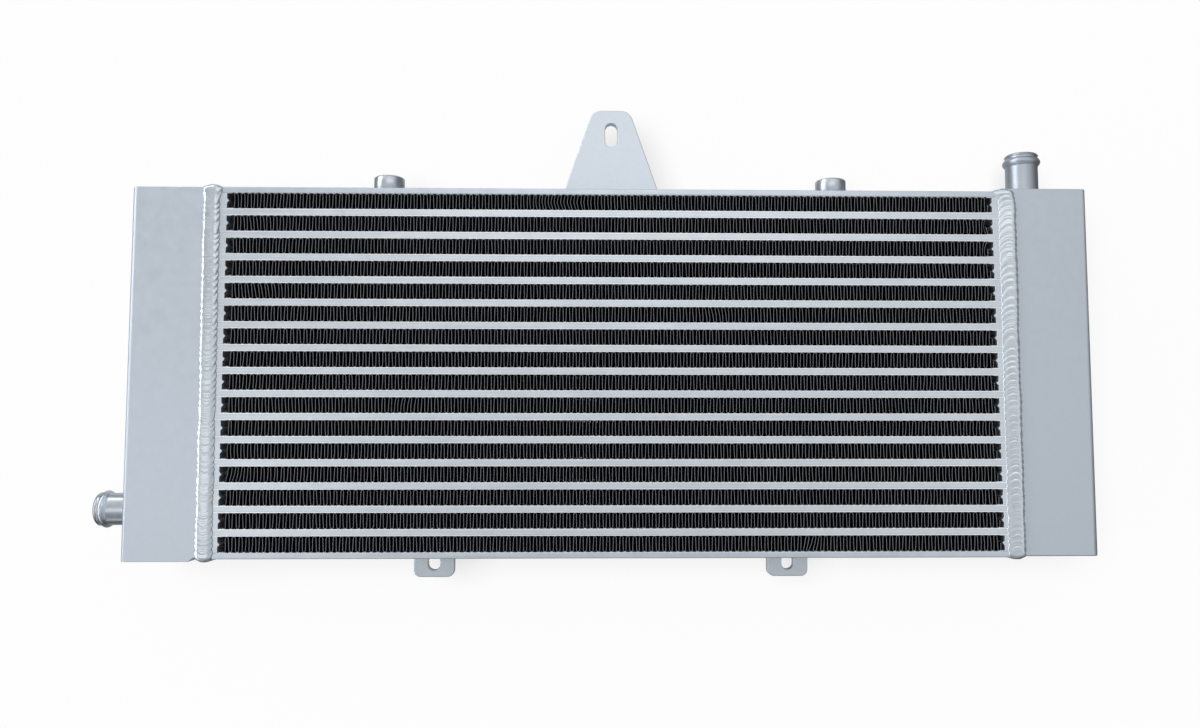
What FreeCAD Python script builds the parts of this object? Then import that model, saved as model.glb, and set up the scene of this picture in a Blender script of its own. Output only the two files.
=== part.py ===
"""Bar-and-plate heat exchanger, water to air, in welded and brazed aluminium.

A brazed core of air fins and flat water passages stands between two side tanks. A weld bead
runs round each joint of core and tank. One hose port leaves the right tank upwards, the other
leaves the left tank sideways, and the whole thing hangs on a slotted top bracket and stands on
two slotted tabs.

Lengths are in millimetres. X runs to the right along the core, Y from its front face to its
back, Z up. Y = 0 is the middle of the core's depth, and the origin is halfway between the slots
of the two lower tabs.
"""
import FreeCAD
import Part

import math
import os

# Core stack, from the bottom: end plate, then fin rows with a water passage between each two
fin_rows = 16
fin_height = 9.2
passage_height = 3.0
parting_sheet = 0.5
end_plate = 3.6
fin_zone = 450.0
core_depth = 56.0

# Air fins: one zigzag sheet a row
fin_wall_count = 72
fin_sheet = 0.25
fin_setback = 0.5
fin_end_gap = 1.4
braze_gap = 0.02

# Closing bars
air_bar_width = 7.9
air_bar_nose = 1.2
air_bar_nose_height = 2.8
water_bar_width = 5.0
turbulator_wall_count = 8
turbulator_sheet = 0.3
turbulator_end_gap = 2.0

# Side tanks: a bent sheet closed by a plate at the top and one at the bottom.
# Each stands out a little beyond both ends of the core, and is shifted up or down by its lift
left_tank_width = 46.2
right_tank_width = 48.4
tank_wall = 2.5
tank_outer_bend = 3.0
tank_cap = 3.0
tank_cap_gap = 0.05
left_tank_lift = -0.8
right_tank_lift = 1.2
tank_overhang = 0.6
left_tank_notch_run = 2.8
left_tank_notch_rise = 2.2

# Weld bead round each joint of core and tank
core_weld_width = 10.0
core_weld_height = 2.0
core_weld_corner = 1.5

# Hose ports
port_radius = 9.5
port_bore = 8.0
upper_port_length = 28.0
lower_port_length = 25.1
port_bead_height = 1.5
port_bead_width = 5.0
port_bead_setback = 5.3
port_tip_chamfer = 0.6
port_fit_gap = 0.05
upper_port_inset = 25.9
lower_port_rise = 26.5

# Threaded bosses on the top plate
boss_radius = 9.25
boss_height = 12.8
boss_x = 135.7
boss_chamfer = 0.8
boss_thread_radius = 4.25
boss_thread_depth = 10.0
boss_mouth_chamfer = 0.8

# Upper bracket
bracket_sheet = 6.0
bracket_base_width = 61.6
bracket_height = 55.3
bracket_top_width = 22.4
bracket_corner = 8.0
bracket_slot_width = 7.5
bracket_slot_length = 14.6
bracket_slot_drop = 15.3

# Lower tabs
tab_sheet = 6.0
tab_x = 105.3
tab_width = 24.0
tab_drop = 13.6
tab_corner = 4.0
tab_slot_width = 7.2
tab_slot_length = 8.6
tab_slot_drop = 5.3

# Fillet welds at the feet of ports, bosses, bracket and tabs
fillet_weld = 2.5
fillet_weld_margin = 0.8

# Sizes that follow from the ones above
band = passage_height + 2 * parting_sheet
core_bottom = tab_slot_drop
core_height = 2 * end_plate + fin_rows * fin_height + (fin_rows - 1) * band
core_top = core_bottom + core_height
core_half = fin_zone / 2 + air_bar_width
half_depth = core_depth / 2
left_tank_end = core_half + left_tank_width
right_tank_end = core_half + right_tank_width
upper_port_x = right_tank_end - upper_port_inset
weld_toe = core_half + core_weld_width / 2

# How near an edge has to lie to the place where it is looked for
near = 1e-4


def box(x_range, y_range, z_range):
    """Block between two values along each axis."""
    corner = FreeCAD.Vector(x_range[0], y_range[0], z_range[0])
    sides = [high - low for low, high in (x_range, y_range, z_range)]
    return Part.makeBox(*sides, corner)


def prism(outline, y_range):
    """Outline of (x, z) points pushed along Y."""
    corners = [FreeCAD.Vector(x, y_range[0], z) for x, z in outline]
    face = Part.Face(Part.makePolygon(corners + corners[:1]))
    return face.extrude(FreeCAD.Vector(0, y_range[1] - y_range[0], 0))


def edges_at(shape, along, across, value):
    """Straight edges along one axis that lie at a value of another axis."""
    found = []
    for edge in shape.Edges:
        bounds = edge.BoundBox
        length = getattr(bounds, along + "Length")
        straight = length > near and bounds.DiagonalLength - length < near
        if straight and abs(getattr(bounds, across + "Max") - value) < near:
            found.append(edge)
    return found


def mirrored(shape):
    """The same shape on the other side of X = 0."""
    return shape.mirror(FreeCAD.Vector(0, 0, 0), FreeCAD.Vector(1, 0, 0))


def group(solids):
    """Separate solids kept together in one node."""
    return Part.makeCompound(solids)


def fin_floor(row):
    """Height of the underside of a fin row, counted from 0 at the bottom."""
    return core_bottom + end_plate + row * (fin_height + band)


def passage_floor(level):
    """Height of the underside of the lower parting sheet of a water passage."""
    return fin_floor(level) + fin_height


def zigzag(length, height, walls, sheet):
    """Closed outline of a folded sheet, centred on (0, 0), as (along, up) points.

    The middle line climbs and falls once a wall. The two skins are that line moved up and down
    by half the upright thickness of the slanted sheet, so the sheet has the same gauge all over.
    """
    step = length / walls
    rise = sheet / 2 * math.hypot(1, height / step)
    crest = height / 2 - rise
    line = [(-length / 2 + i * step, crest if i % 2 else -crest) for i in range(walls + 1)]
    upper = [(along, up + rise) for along, up in line]
    lower = [(along, up - rise) for along, up in reversed(line)]
    return lower + upper


def fin_row(row):
    """One row of air fins: a folded sheet brazed between two flat ones."""
    length = fin_zone - 2 * fin_end_gap
    height = fin_height - 2 * braze_gap
    centre = fin_floor(row) + fin_height / 2
    outline = [(x, centre + z) for x, z in zigzag(length, height, fin_wall_count, fin_sheet)]
    return prism(outline, (fin_setback - half_depth, half_depth - fin_setback))


def water_bars(level):
    """The front and back bars that close one water passage over the core's whole length."""
    low = passage_floor(level) + parting_sheet
    high = low + passage_height
    front = box((-core_half, core_half), (-half_depth, water_bar_width - half_depth), (low, high))
    back = box((-core_half, core_half), (half_depth - water_bar_width, half_depth), (low, high))
    return group([front, back])


def parting_sheets():
    """The thin sheets above and below each water passage."""
    sheets = []
    for level in range(fin_rows - 1):
        for low in (passage_floor(level), passage_floor(level) + parting_sheet + passage_height):
            span = (low, low + parting_sheet)
            sheets.append(box((-core_half, core_half), (-half_depth, half_depth), span))
    return group(sheets)


def right_air_bars():
    """The short bars at the right end of every fin row, each with a V nose towards the fins."""
    face = fin_zone / 2
    tip = face - air_bar_nose
    bars = []
    for row in range(fin_rows):
        low = fin_floor(row)
        middle = low + fin_height / 2
        high = low + fin_height
        outline = [
            (core_half, low),
            (core_half, high),
            (face, high),
            (face, middle + air_bar_nose_height / 2),
            (tip, middle),
            (face, middle - air_bar_nose_height / 2),
            (face, low),
        ]
        bars.append(prism(outline, (-half_depth, half_depth)))
    return group(bars)


def turbulators():
    """The folded sheets inside the water passages, with channels along the core."""
    width = core_depth - 2 * water_bar_width - 2 * braze_gap
    height = passage_height - 2 * braze_gap
    start = turbulator_end_gap - core_half
    sheets = []
    for level in range(fin_rows - 1):
        centre = passage_floor(level) + parting_sheet + passage_height / 2
        outline = zigzag(width, height, turbulator_wall_count, turbulator_sheet)
        corners = [FreeCAD.Vector(start, y, centre + z) for y, z in outline]
        face = Part.Face(Part.makePolygon(corners + corners[:1]))
        sheets.append(face.extrude(FreeCAD.Vector(-2 * start, 0, 0)))
    return group(sheets)


def plate_of_core(low):
    """A thick end plate over the core's whole length and depth."""
    return box((-core_half, core_half), (-half_depth, half_depth), (low, low + end_plate))


def tank_span(lift):
    """Lowest and highest point of a tank that is a little taller than the core and shifted by its lift."""
    return core_bottom + lift - tank_overhang, core_top + lift + tank_overhang


def rounded_slab(x_range, half_width, z_range, radius):
    """Block about Y = 0 whose two upright edges at the far X are rounded."""
    slab = box(x_range, (-half_width, half_width), z_range)
    return slab.makeFillet(radius, edges_at(slab, "Z", "X", x_range[1]))


def tank_notch(lift):
    """Wedge cut from a tank's inner lower corner, up to the weld and on to the joint."""
    low = tank_span(lift)[0]
    outline = [
        (core_half, low),
        (weld_toe + left_tank_notch_run, low),
        (weld_toe, low + left_tank_notch_rise),
        (core_half, low + left_tank_notch_rise),
    ]
    return prism(outline, (-half_depth, half_depth))


def tank_block(end, lift):
    """The space that a right-hand tank takes up, from the joint to its outer end."""
    return box((core_half, end), (-half_depth, half_depth), tank_span(lift))


def tank_shell(end, lift):
    """Right-hand tank sheet: front, outer side and back in one piece, open to the core."""
    span = tank_span(lift)
    outside = rounded_slab((core_half, end), half_depth, span, tank_outer_bend)
    inner_bend = tank_outer_bend - tank_wall
    inside = rounded_slab((core_half, end - tank_wall), half_depth - tank_wall, span, inner_bend)
    return outside.cut(inside)


def tank_cap_plate(end, lift, top):
    """Plate that closes a right-hand tank's top or bottom, let in flush between its walls."""
    low, high = tank_span(lift)
    z_range = (high - tank_cap, high) if top else (low, low + tank_cap)
    inset = tank_wall + tank_cap_gap
    bend = tank_outer_bend - tank_wall
    return rounded_slab((core_half, end - inset), half_depth - inset, z_range, bend)


def core_weld(lift, tank):
    """Right-hand weld bead: a low arch in section, carried all the way round the joint.

    The arch is swept round a rounded rectangle that lies just inside the joint's skin, and the
    core and the tank are cut away from it, so it fills the small step between the two.
    """
    low, high = tank_span(lift)
    bottom = max(core_bottom, low)
    top = min(core_top, high)
    sink = abs(lift) + tank_overhang + core_weld_height / 2
    path = rounded_rectangle(half_depth - sink, bottom + sink, top - sink, core_weld_corner)
    inner_toe = core_half - core_weld_width / 2
    root = sink - half_depth
    middle = (top + bottom) / 2
    corners = [
        FreeCAD.Vector(inner_toe, root, middle),
        FreeCAD.Vector(inner_toe, -half_depth, middle),
        FreeCAD.Vector(core_half, -half_depth - core_weld_height, middle),
        FreeCAD.Vector(weld_toe, -half_depth, middle),
        FreeCAD.Vector(weld_toe, root, middle),
    ]
    section = Part.Wire([
        Part.makeLine(corners[0], corners[1]),
        Part.Arc(corners[1], corners[2], corners[3]).toShape(),
        Part.makeLine(corners[3], corners[4]),
        Part.makeLine(corners[4], corners[0]),
    ])
    bead = path.makePipeShell([section], True, True)
    core = box((0, core_half), (-half_depth, half_depth), (core_bottom, core_top))
    return bead.cut(core.fuse(tank))


def rounded_rectangle(half_width, low, high, radius):
    """Wire round Y = 0 in the plane of the joint, starting at the middle of its front side."""
    x = core_half
    middle = (low + high) / 2
    bow = radius * (1 - math.sqrt(0.5))
    sides = [
        ((-half_width, middle), (-half_width, low + radius)),
        ((radius - half_width, low), (half_width - radius, low)),
        ((half_width, low + radius), (half_width, high - radius)),
        ((half_width - radius, high), (radius - half_width, high)),
        ((-half_width, high - radius), (-half_width, middle)),
    ]
    bends = [
        (bow - half_width, low + bow),
        (half_width - bow, low + bow),
        (half_width - bow, high - bow),
        (bow - half_width, high - bow),
    ]
    edges = []
    for i, (start, end) in enumerate(sides):
        edges.append(Part.makeLine(FreeCAD.Vector(x, *start), FreeCAD.Vector(x, *end)))
        if i < len(bends):
            following = sides[i + 1][0]
            points = [FreeCAD.Vector(x, *point) for point in (end, bends[i], following)]
            edges.append(Part.Arc(*points).toShape())
    return Part.Wire(edges)


def hose_port(tip):
    """Hose port from (0, 0, 0) up to the given height, with its foot let into the tank's wall."""
    bead_low = tip - port_bead_setback - port_bead_width / 2
    bead_high = bead_low + port_bead_width
    bead_crest = (port_radius + port_bead_height, bead_low + port_bead_width / 2)
    above_bead = [
        (port_radius, bead_high),
        (port_radius, tip - port_tip_chamfer),
        (port_radius - port_tip_chamfer, tip),
        (port_bore, tip),
    ]
    foot = [(port_bore, tip), (port_bore, -tank_wall), (port_radius, -tank_wall), (port_radius, bead_low)]
    bead = arc(foot[-1], bead_crest, above_bead[0])
    return turned(chain(foot) + [bead] + chain(above_bead))


def chain(points):
    """Straight edges from each (radius, height) point to the next."""
    places = [FreeCAD.Vector(radius, 0, height) for radius, height in points]
    return [Part.makeLine(start, end) for start, end in zip(places, places[1:])]


def arc(start, middle, end):
    """Arc through three (radius, height) points."""
    places = [FreeCAD.Vector(radius, 0, height) for radius, height in (start, middle, end)]
    return Part.Arc(*places).toShape()


def turned(edges):
    """Solid of revolution about the Z axis from a closed chain of edges."""
    face = Part.Face(Part.Wire(edges))
    return face.revolve(FreeCAD.Vector(0, 0, 0), FreeCAD.Vector(0, 0, 1), 360)


def round_fillet_weld(radius):
    """Ring of weld metal in the corner round a foot of the given radius on Z = 0."""
    corners = [(radius, 0), (radius + fillet_weld, 0), (radius, fillet_weld)]
    return turned(chain(corners + corners[:1]))


def boss():
    """Round boss standing on (0, 0, 0), with a blind threaded hole."""
    floor = boss_height - boss_thread_depth
    corners = [
        (0, 0),
        (boss_radius, 0),
        (boss_radius, boss_height - boss_chamfer),
        (boss_radius - boss_chamfer, boss_height),
        (boss_thread_radius + boss_mouth_chamfer, boss_height),
        (boss_thread_radius, boss_height - boss_mouth_chamfer),
        (boss_thread_radius, floor),
        (0, floor),
    ]
    return turned(chain(corners + corners[:1]))


def slot(width, length, x, z, sheet):
    """Upright slot with round ends, centred on (x, z), cut right through a sheet."""
    radius = width / 2
    straight = length / 2 - radius
    start = FreeCAD.Vector(x, -sheet, z)
    through = FreeCAD.Vector(0, 1, 0)
    lower = Part.makeCylinder(radius, 2 * sheet, start + FreeCAD.Vector(0, 0, -straight), through)
    upper = Part.makeCylinder(radius, 2 * sheet, start + FreeCAD.Vector(0, 0, straight), through)
    middle = box((x - radius, x + radius), (-sheet, sheet), (z - straight, z + straight))
    return lower.fuse([upper, middle]).removeSplitter()


def upper_bracket():
    """Tapered plate on the top of the core, with round upper corners and an upright slot."""
    top = core_top + bracket_height
    outline = [
        (-bracket_base_width / 2, core_top),
        (bracket_base_width / 2, core_top),
        (bracket_top_width / 2, top),
        (-bracket_top_width / 2, top),
    ]
    plate = prism(outline, (-bracket_sheet / 2, bracket_sheet / 2))
    plate = plate.makeFillet(bracket_corner, edges_at(plate, "Y", "Z", top))
    centre = top - bracket_slot_drop
    return plate.cut(slot(bracket_slot_width, bracket_slot_length, 0, centre, bracket_sheet))


def lower_tab(x):
    """Small plate under the core, with round lower corners and an upright slot."""
    bottom = core_bottom - tab_drop
    sides = (x - tab_width / 2, x + tab_width / 2)
    plate = box(sides, (-tab_sheet / 2, tab_sheet / 2), (bottom, core_bottom))
    plate = plate.makeFillet(tab_corner, edges_at(plate, "Y", "Z", bottom))
    return plate.cut(slot(tab_slot_width, tab_slot_length, x, core_bottom - tab_slot_drop, tab_sheet))


def straight_fillet_weld(x_range, face_y, z, up):
    """Run of weld metal along X in the corner of a plate's face and the core."""
    size = fillet_weld
    out = math.copysign(size, face_y)
    corners = [
        FreeCAD.Vector(x_range[0], face_y, z),
        FreeCAD.Vector(x_range[0], face_y + out, z),
        FreeCAD.Vector(x_range[0], face_y, z + up * size),
    ]
    face = Part.Face(Part.makePolygon(corners + corners[:1]))
    return face.extrude(FreeCAD.Vector(x_range[1] - x_range[0], 0, 0))


def bracket_weld():
    """Two runs of weld along the foot of the upper bracket, one on each face."""
    end = bracket_base_width / 2 - fillet_weld - fillet_weld_margin
    return group([
        straight_fillet_weld((-end, end), side * bracket_sheet / 2, core_top, 1) for side in (-1, 1)
    ])


def tab_weld(x):
    """Four short runs of weld at the head of a lower tab, beside its slot."""
    inner = tab_slot_width / 2 + fillet_weld_margin
    outer = tab_width / 2 - fillet_weld_margin
    runs = []
    for side in (-1, 1):
        for x_range in ((x - outer, x - inner), (x + inner, x + outer)):
            runs.append(straight_fillet_weld(x_range, side * tab_sheet / 2, core_bottom, -1))
    return group(runs)


def placed(shape, x, z, turn=0):
    """Shape turned about Y by the given degrees and then set at (x, 0, z)."""
    copy = shape.copy()
    copy.rotate(FreeCAD.Vector(0, 0, 0), FreeCAD.Vector(0, 1, 0), turn)
    copy.translate(FreeCAD.Vector(x, 0, z))
    return copy


def port_hole(x, z, turn=0):
    """Round hole for a hose port's foot, through one tank wall."""
    radius = port_radius + port_fit_gap
    drill = Part.makeCylinder(radius, 4 * tank_wall, FreeCAD.Vector(0, 0, -2 * tank_wall))
    return placed(drill, x, z, turn)


def write(name, shape):
    """Store one node as a STEP file."""
    if not shape.isValid():
        raise ValueError(name + " is not a sound solid")
    shape.exportStep(os.path.join("parts", name + ".step"))


os.makedirs("parts", exist_ok=True)

# Core
for row in range(fin_rows):
    write(f"fin_row_{row + 1:02d}", fin_row(row))
for level in range(fin_rows - 1):
    write(f"water_bars_{level + 1:02d}", water_bars(level))
air_bars = right_air_bars()
write("parting_sheets", parting_sheets())
write("air_bars_right", air_bars)
write("air_bars_left", mirrored(air_bars))
write("turbulators", turbulators())
write("bottom_end_plate", plate_of_core(core_bottom))
write("top_end_plate", plate_of_core(core_top - end_plate))

# Tanks
upper_port_foot = tank_span(right_tank_lift)[1]
lower_port_z = core_bottom + lower_port_rise
right_tank = (right_tank_end, right_tank_lift)
write("right_tank_shell", tank_shell(*right_tank))
write("right_tank_bottom_cap", tank_cap_plate(*right_tank, False))
right_top_cap = tank_cap_plate(*right_tank, True)
write("right_tank_top_cap", right_top_cap.cut(port_hole(upper_port_x, upper_port_foot)))
write("right_core_weld", core_weld(right_tank_lift, tank_block(*right_tank)))
left_tank = (left_tank_end, left_tank_lift)
notch = tank_notch(left_tank_lift)
left_shell = mirrored(tank_shell(*left_tank).cut(notch))
write("left_tank_shell", left_shell.cut(port_hole(-left_tank_end, lower_port_z, -90)))
write("left_tank_bottom_cap", mirrored(tank_cap_plate(*left_tank, False).cut(notch)))
write("left_tank_top_cap", mirrored(tank_cap_plate(*left_tank, True)))
write("left_core_weld", mirrored(core_weld(left_tank_lift, tank_block(*left_tank).cut(notch))))

# Hose ports
port_weld = round_fillet_weld(port_radius)
write("upper_hose_port", placed(hose_port(upper_port_length), upper_port_x, upper_port_foot))
write("upper_port_weld", placed(port_weld, upper_port_x, upper_port_foot))
write("lower_hose_port", placed(hose_port(lower_port_length), -left_tank_end, lower_port_z, -90))
write("lower_port_weld", placed(port_weld, -left_tank_end, lower_port_z, -90))

# Mounts
boss_shape = boss()
boss_weld = round_fillet_weld(boss_radius)
for side, sign in (("left", -1), ("right", 1)):
    write(side + "_boss", placed(boss_shape, sign * boss_x, core_top))
    write(side + "_boss_weld", placed(boss_weld, sign * boss_x, core_top))
    write(side + "_lower_tab", lower_tab(sign * tab_x))
    write(side + "_tab_weld", tab_weld(sign * tab_x))
write("upper_bracket", upper_bracket())
write("bracket_weld", bracket_weld())
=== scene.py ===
"""Looks of a bar-and-plate heat exchanger: folded fins, rippled welds, turned ports, bead-blasted tanks.

Lengths are in metres, written as millimetres times mm. X runs to the right along the core, Y from
the front face to the back, Z up. Every new shape is a surface worked out as arrays: a function of
two parameters on a grid, or a profile carried along a path.
"""
import math

import bpy
import numpy as np
from mathutils import Euler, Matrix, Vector


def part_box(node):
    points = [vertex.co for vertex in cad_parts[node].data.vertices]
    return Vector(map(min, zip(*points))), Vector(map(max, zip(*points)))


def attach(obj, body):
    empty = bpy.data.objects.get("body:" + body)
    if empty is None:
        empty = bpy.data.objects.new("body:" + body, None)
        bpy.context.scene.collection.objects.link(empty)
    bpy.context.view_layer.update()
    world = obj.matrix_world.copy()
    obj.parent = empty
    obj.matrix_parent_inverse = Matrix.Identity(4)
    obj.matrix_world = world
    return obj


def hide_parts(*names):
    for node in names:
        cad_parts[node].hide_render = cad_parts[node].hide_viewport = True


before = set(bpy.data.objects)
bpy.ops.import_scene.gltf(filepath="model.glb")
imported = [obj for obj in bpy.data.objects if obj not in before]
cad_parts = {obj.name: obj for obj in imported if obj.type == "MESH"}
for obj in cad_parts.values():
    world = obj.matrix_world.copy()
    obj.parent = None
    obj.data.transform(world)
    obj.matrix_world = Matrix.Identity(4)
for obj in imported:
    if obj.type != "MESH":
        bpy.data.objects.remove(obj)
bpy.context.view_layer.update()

mm = 0.001
turn = 2 * math.pi

# Camera, where the photograph was taken from: turns in degrees, lens and sensor in millimetres
camera_place = (-21.19 * mm, -605.41 * mm, 73.66 * mm)
camera_tilt = 4.254
camera_roll = -0.016
camera_pan = -1.361
camera_lens = 30.0
camera_sensor = 36.0
camera_nearest = 10 * mm

# Studio light as (degrees, strength): round the compass, where 0 is the camera's side and left is
# below 0, and over the height above the horizon
studio_compass = [(-180, 0.26), (-150, 0.28), (-128, 0.10), (-92, 0.08), (-84, 0.12), (-80, 1.6), (-62, 1.6),
                  (-55, 0.18), (-40, 0.19), (-15, 0.33), (0, 0.36), (18, 0.36), (42, 0.32), (62, 0.16),
                  (80, 0.05), (130, 0.08), (150, 0.28), (180, 0.26)]
studio_height = [(-90, 0.2), (-62, 0.25), (-38, 0.42), (-14, 0.66), (0, 0.70), (14, 0.73), (30, 0.9),
                 (46, 1.0), (66, 0.9), (90, 0.5)]
studio_strength = 2.9

# Softboxes in front: name, place, point aimed at, width and height in metres, and power in watts
softboxes = [
    ("upper softbox", (40 * mm, -600 * mm, 430 * mm), (0, 0, 200 * mm), 0.6, 0.25, 0.30),
    ("low left softbox", (-470 * mm, -590 * mm, -10 * mm), (-230 * mm, 0, 50 * mm), 0.3, 0.25, 0.20),
    ("low right softbox", (500 * mm, -590 * mm, 20 * mm), (240 * mm, 0, 60 * mm), 0.3, 0.25, 0.08),
]

# Backdrop: the white beyond it, its own grey and glow, and where its wall and floor run
backdrop_white = 0.982
backdrop_grey = 0.04
backdrop_glow = 0.738
backdrop_wall = 31 * mm
backdrop_top = 900 * mm
backdrop_bend = 120 * mm
backdrop_floor = -420 * mm
backdrop_front = -1600 * mm
backdrop_half_width = 2000 * mm

# Soft lamp that lights only the backdrop; its width is in degrees
shadow_lamp_strength = 18.0
shadow_lamp_width = 38.0
shadow_lamp_direction = (0.36, 1.0, -0.04)

# Stack of the core
fin_rows = 16
water_levels = fin_rows - 1
water_bar_width = 5.0 * mm
parting_sheet_gauge = 0.5 * mm
braze_gap = 0.02 * mm

# Folded fin sheets: gauge, folds, unevenness of their places, lean and bow, and zigzag in the depth
fin_walls = 236
fin_sheet = 0.34 * mm
fin_fold_share = 0.09
fin_fold_steps = 3
fin_splay = 0.08 * mm
fin_pairing = 0.08 * mm
fin_pairing_wave = 0.11
fin_jitter = 0.05 * mm
fin_lean = 0.16 * mm
fin_bow = 0.13 * mm
fin_unrest = 0.45
fin_group = 7
fin_end_room = 0.25 * mm
fin_stations = np.array([0, 2.5, 19, 36, 52.5, 55]) * mm
fin_weave = np.array([0, 0.3, -1.15, 1.15, -0.3, 0]) * mm
fin_seed = 40

# Groups of fins that were pushed out of line: row, place, half width, bow and lean
fin_dents = [
    (16, -28 * mm, 17 * mm, -1.6 * mm, -0.3 * mm),
    (15, 221.5 * mm, 2.2 * mm, -1.7 * mm, -0.4 * mm),
    (14, 221 * mm, 2.6 * mm, -1.5 * mm, 0.8 * mm),
    (14, -224 * mm, 2.4 * mm, 1.2 * mm, -0.5 * mm),
    (13, -223 * mm, 2.0 * mm, 1.5 * mm, 0.6 * mm),
    (1, 113 * mm, 5 * mm, 0.3 * mm, 1.3 * mm),
    (4, -217 * mm, 6 * mm, 0.5 * mm, 0.8 * mm),
    (11, 60 * mm, 9 * mm, 0.4 * mm, -0.7 * mm),
    (7, -120 * mm, 8 * mm, -0.5 * mm, 0.6 * mm),
    (12, -205 * mm, 12 * mm, 0.4 * mm, -0.8 * mm),
    (3, 180 * mm, 7 * mm, 0.5 * mm, 0.5 * mm),
]

# Painted shade of the fin sheets: over this stretch of the half depth, from black to the cut edges' grey
fin_shade_from = 24.5 * mm
fin_shade_to = 27.5 * mm
fin_shades = [(0.0, (0.0008, 0.0008, 0.001)), (0.6, (0.002, 0.0022, 0.0025)),
              (0.94, (0.006, 0.0066, 0.0075)), (0.985, (0.02, 0.022, 0.025)),
              (0.997, (0.185, 0.20, 0.22))]

# Braze fillets between the folds of the fins and the sheets: lowest and highest crest, its share at
# the walls and at the row's ends, its unevenness, and how the section sits on the sheet
braze_low = -0.09 * mm
braze_high = 0.34 * mm
braze_at_walls = 0.42
braze_at_ends = 1.3
braze_least = 0.6
braze_proud = 0.35 * mm
braze_crest = 0.1 * mm
braze_depth = 1.2 * mm
braze_sink = 0.1 * mm
braze_seed = 100

# Edges of bars, sheets and plates; their corners are a little rounder than their edges
sheet_edge = 0.06 * mm
bar_edge = 0.18 * mm
plate_edge = 0.5 * mm
edge_steps = 3
corner_share = 1.05
corner_steps = 3

# V noses of the bars that close the fin rows
nose_depth = 1.2 * mm
nose_height = 2.8 * mm

# How far the closing bars' faces stand from their plain place: right end at the top and bottom, left end
right_bar_drift = (-0.5 * mm, 1.3 * mm)
left_bar_drift = 0.7 * mm

# Tanks: rounded edges, and the sharpest fold in degrees that stays as it is
tank_edge = {"left": 0.25 * mm, "right": 0.7 * mm}
cap_edge = 0.4 * mm
tank_fold = 40
tank_merge = 0.001 * mm

# Weld bead round each joint of core and tank: its section, path and ripples
bead_height = 2.0 * mm
bead_room = 0.02 * mm
bead_crown = 0.45 * mm
bead_arch = bead_height - 0.3 * mm
bead_toe = -0.12 * mm
bead_sink = 0.9 * mm
bead_undercut = 1.0 * mm
bead_corner = 1.5 * mm
bead_corner_steps = 6
bead_step = 0.3 * mm
bead_columns = 23
bead_coarse_pitch = 4.2 * mm
bead_fine_pitch = 1.7 * mm
bead_bow = {"left": -4.2 * mm, "right": 4.0 * mm}
bead_ripples = {"left": (0.18 * mm, 0.13 * mm), "right": (0.21 * mm, 0.12 * mm)}
bead_ripple_gain = 1.25
bead_coarse_sharpness = 9
bead_fine_sharpness = 6
bead_scallop = 0.6 * mm
bead_swell = 1.2 * mm
bead_swell_length = 4.0 * mm
bead_seed = {"left": 11, "right": 12}

# Unevenness of the bead as (distance between its knots, size)
coarse_wander = (6.0 * mm, 0.34)
fine_wander = (4.0 * mm, 0.5)
strength_wander = (9.0 * mm, 0.4)
width_wander = (7.0 * mm, 0.12 * mm)
place_wander = (8.0 * mm, 0.12 * mm)

# Rim of the bead's section on its left and right: height, and width as a share of half the bead
bead_rims = {"left": ((1.1 * mm, 0.34), (1.25 * mm, 0.46)), "right": ((0.2 * mm, 0.6), (1.5 * mm, 0.32))}

# How much, and how abruptly, the coarse ripples narrow and widen the flanks
bead_break = {"left": 0.8, "right": 0.2}
bead_break_sharpness = 6

# How much lower the flanks are at the bead's lower end, and how far that end stands to the right
bead_settling = {"left": 0.35, "right": 0.0}
bead_drift = {"left": 1.3 * mm, "right": 0.0}

# How far each bead reaches out further than its plain width, on its left and right, and how far
# its upper end leans to the right
bead_reach = {"left": (0.7 * mm, 0.0), "right": (0.0, 1.0 * mm)}
bead_lip = {"left": 0.4 * mm, "right": -1.8 * mm}

# Hose ports
port_radius = 9.5 * mm
port_bore = 8.0 * mm
port_sink = 2.5 * mm
port_bead_height = 1.5 * mm
port_bead_width = 5.0 * mm
port_bead_fullness = 0.9
port_bead_setback = 5.3 * mm
port_plain_end = 4.0 * mm
port_ring_height = 0.35 * mm
port_ring_width = 1.1 * mm
port_ring_setback = 1.3 * mm
port_tip_round = 1.3 * mm
port_chamfer_width = 0.2 * mm
port_chamfer_height = 0.3 * mm
port_heights = 60
port_steps = 96

# Bosses
boss_chamfer = 0.8 * mm
boss_break = 0.1 * mm
boss_countersink = 0.8 * mm
boss_thread_radius = 4.25 * mm
boss_thread_height = 0.75 * mm
boss_thread_pitch = 1.5 * mm
boss_thread_depth = 10.0 * mm
boss_thread_rings = 6
boss_steps = 72

# Bracket and tabs
bracket_top_width = 22.4 * mm
bracket_corner = 7.2 * mm
bracket_slot = (7.5 * mm, 14.6 * mm)
bracket_slot_drop = 15.3 * mm
tab_corner = 4.0 * mm
tab_slot = (7.2 * mm, 8.6 * mm)
foot_corner = 1.0 * mm
foot_sink = 1.1 * mm
mount_edge = 0.5 * mm
mount_margin = 0.25 * mm
mount_step = 0.6 * mm
mount_corner_steps = 10
slot_edge_share = 0.7

# Fillet welds at the feet of ports, bosses, bracket and tabs
fillet_size = 2.4 * mm
fillet_sink = 0.3 * mm
fillet_points = 7
fillet_flattening = 0.22

# Round welds: least size, ripples and slow swell as shares of the fillet, and how many ripples
ring_least = 0.94
ring_ripple = 0.12
ring_swell = 0.05
ring_steps = 120
port_ripples = 22
boss_ripples = 20

# Straight welds: least size and ripples as shares of the fillet, lengths, and room left at the ends
run_least = 0.86
run_ripple = 0.18
run_ripple_length = 3.2 * mm
run_step = 0.5 * mm
run_least_steps = 12
run_end_power = 8
run_end_least = 0.04
tab_weld_room = 0.8 * mm
bracket_weld_room = 3.3 * mm


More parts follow.
